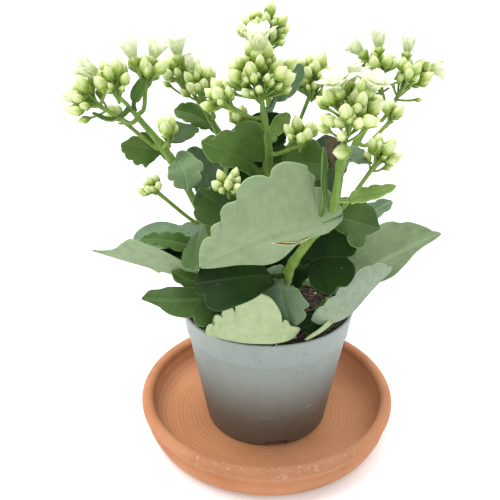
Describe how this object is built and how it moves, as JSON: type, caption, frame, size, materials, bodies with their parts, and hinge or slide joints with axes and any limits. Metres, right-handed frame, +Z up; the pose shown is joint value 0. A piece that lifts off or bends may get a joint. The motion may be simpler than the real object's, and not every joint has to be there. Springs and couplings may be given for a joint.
{
  "type": "potted kalanchoe",
  "caption": "Flowering houseplant with fleshy scalloped leaves and heads of plump pale buds, in a tapered plastic nursery pot that stands on a round clay saucer.",
  "frame": {"origin": "centre of the saucer's flat underside, which is also under the centre of the pot", "axes": "+Z up along the pot's axis, -Y towards the plant's front (the side with the broad pale leaf), +X to the right seen from the front"},
  "size_m": [0.2061, 0.1623, 0.2551],
  "materials": {
    "clay": "unglazed fired clay, dry and slightly grainy",
    "pot_plastic": "matte blue-grey injection-moulded plastic",
    "mix": "damp crumbly peat-based potting mix",
    "stem": "smooth waxy green stem",
    "leaf": "satin fleshy leaf, dark green upper side",
    "leaf_pale": "matte silvery grey-green leaf underside",
    "flower_head": "waxy pale yellow-green buds with some cream-white open flowers"
  },
  "bodies": {
    "root": {"bract_centre": "leaf", "head_back_left": "flower_head", "head_back_middle": "flower_head", "head_behind": "flower_head", "head_centre": "flower_head", "head_centre_back": "flower_head", "head_centre_low": "flower_head", "head_centre_right": "flower_head", "head_centre_side": "flower_head", "head_far_right": "flower_head", "head_far_right_outer": "flower_head", "head_left_long": "flower_head", "head_left_low": "flower_head", "head_left_middle": "flower_head", "head_left_outer": "flower_head", "head_left_pair": "flower_head", "head_left_top": "flower_head", "head_middle_right": "flower_head", "head_right": "flower_head", "head_right_low": "flower_head", "head_right_side": "flower_head", "leaf_back_high_left": "leaf", "leaf_back_high_right": "leaf", "leaf_back_left_small": "leaf", "leaf_back_low_left": "leaf", "leaf_back_low_right": "leaf", "leaf_back_scarred": "leaf", "leaf_centre_left": "leaf", "leaf_centre_right": "leaf", "leaf_centre_upright": "leaf", "leaf_edge_on": "leaf", "leaf_front_broad": "leaf_pale", "leaf_front_dark": "leaf", "leaf_front_fan": "leaf_pale", "leaf_front_under": "leaf", "leaf_left_behind": "leaf", "leaf_left_dark": "leaf", "leaf_left_drooping": "leaf_pale", "leaf_left_low": "leaf", "leaf_left_outer": "leaf", "leaf_left_pale": "leaf_pale", "leaf_lower_left": "leaf", "leaf_node_down": "leaf", "leaf_right_folded": "leaf_pale", "leaf_right_large": "leaf", "leaf_right_middle": "leaf", "leaf_right_narrow": "leaf", "leaf_right_upper": "leaf", "leaf_two_lobed": "leaf", "leaf_upper_left": "leaf", "pot": "pot_plastic", "potting_mix": "mix", "saucer": "clay", "sprout": "leaf", "stem_back_left": "stem", "stem_back_right": "stem", "stem_behind": "stem", "stem_centre": "stem", "stem_left": "stem", "stem_right": "stem"}
  },
  "joints": []
}
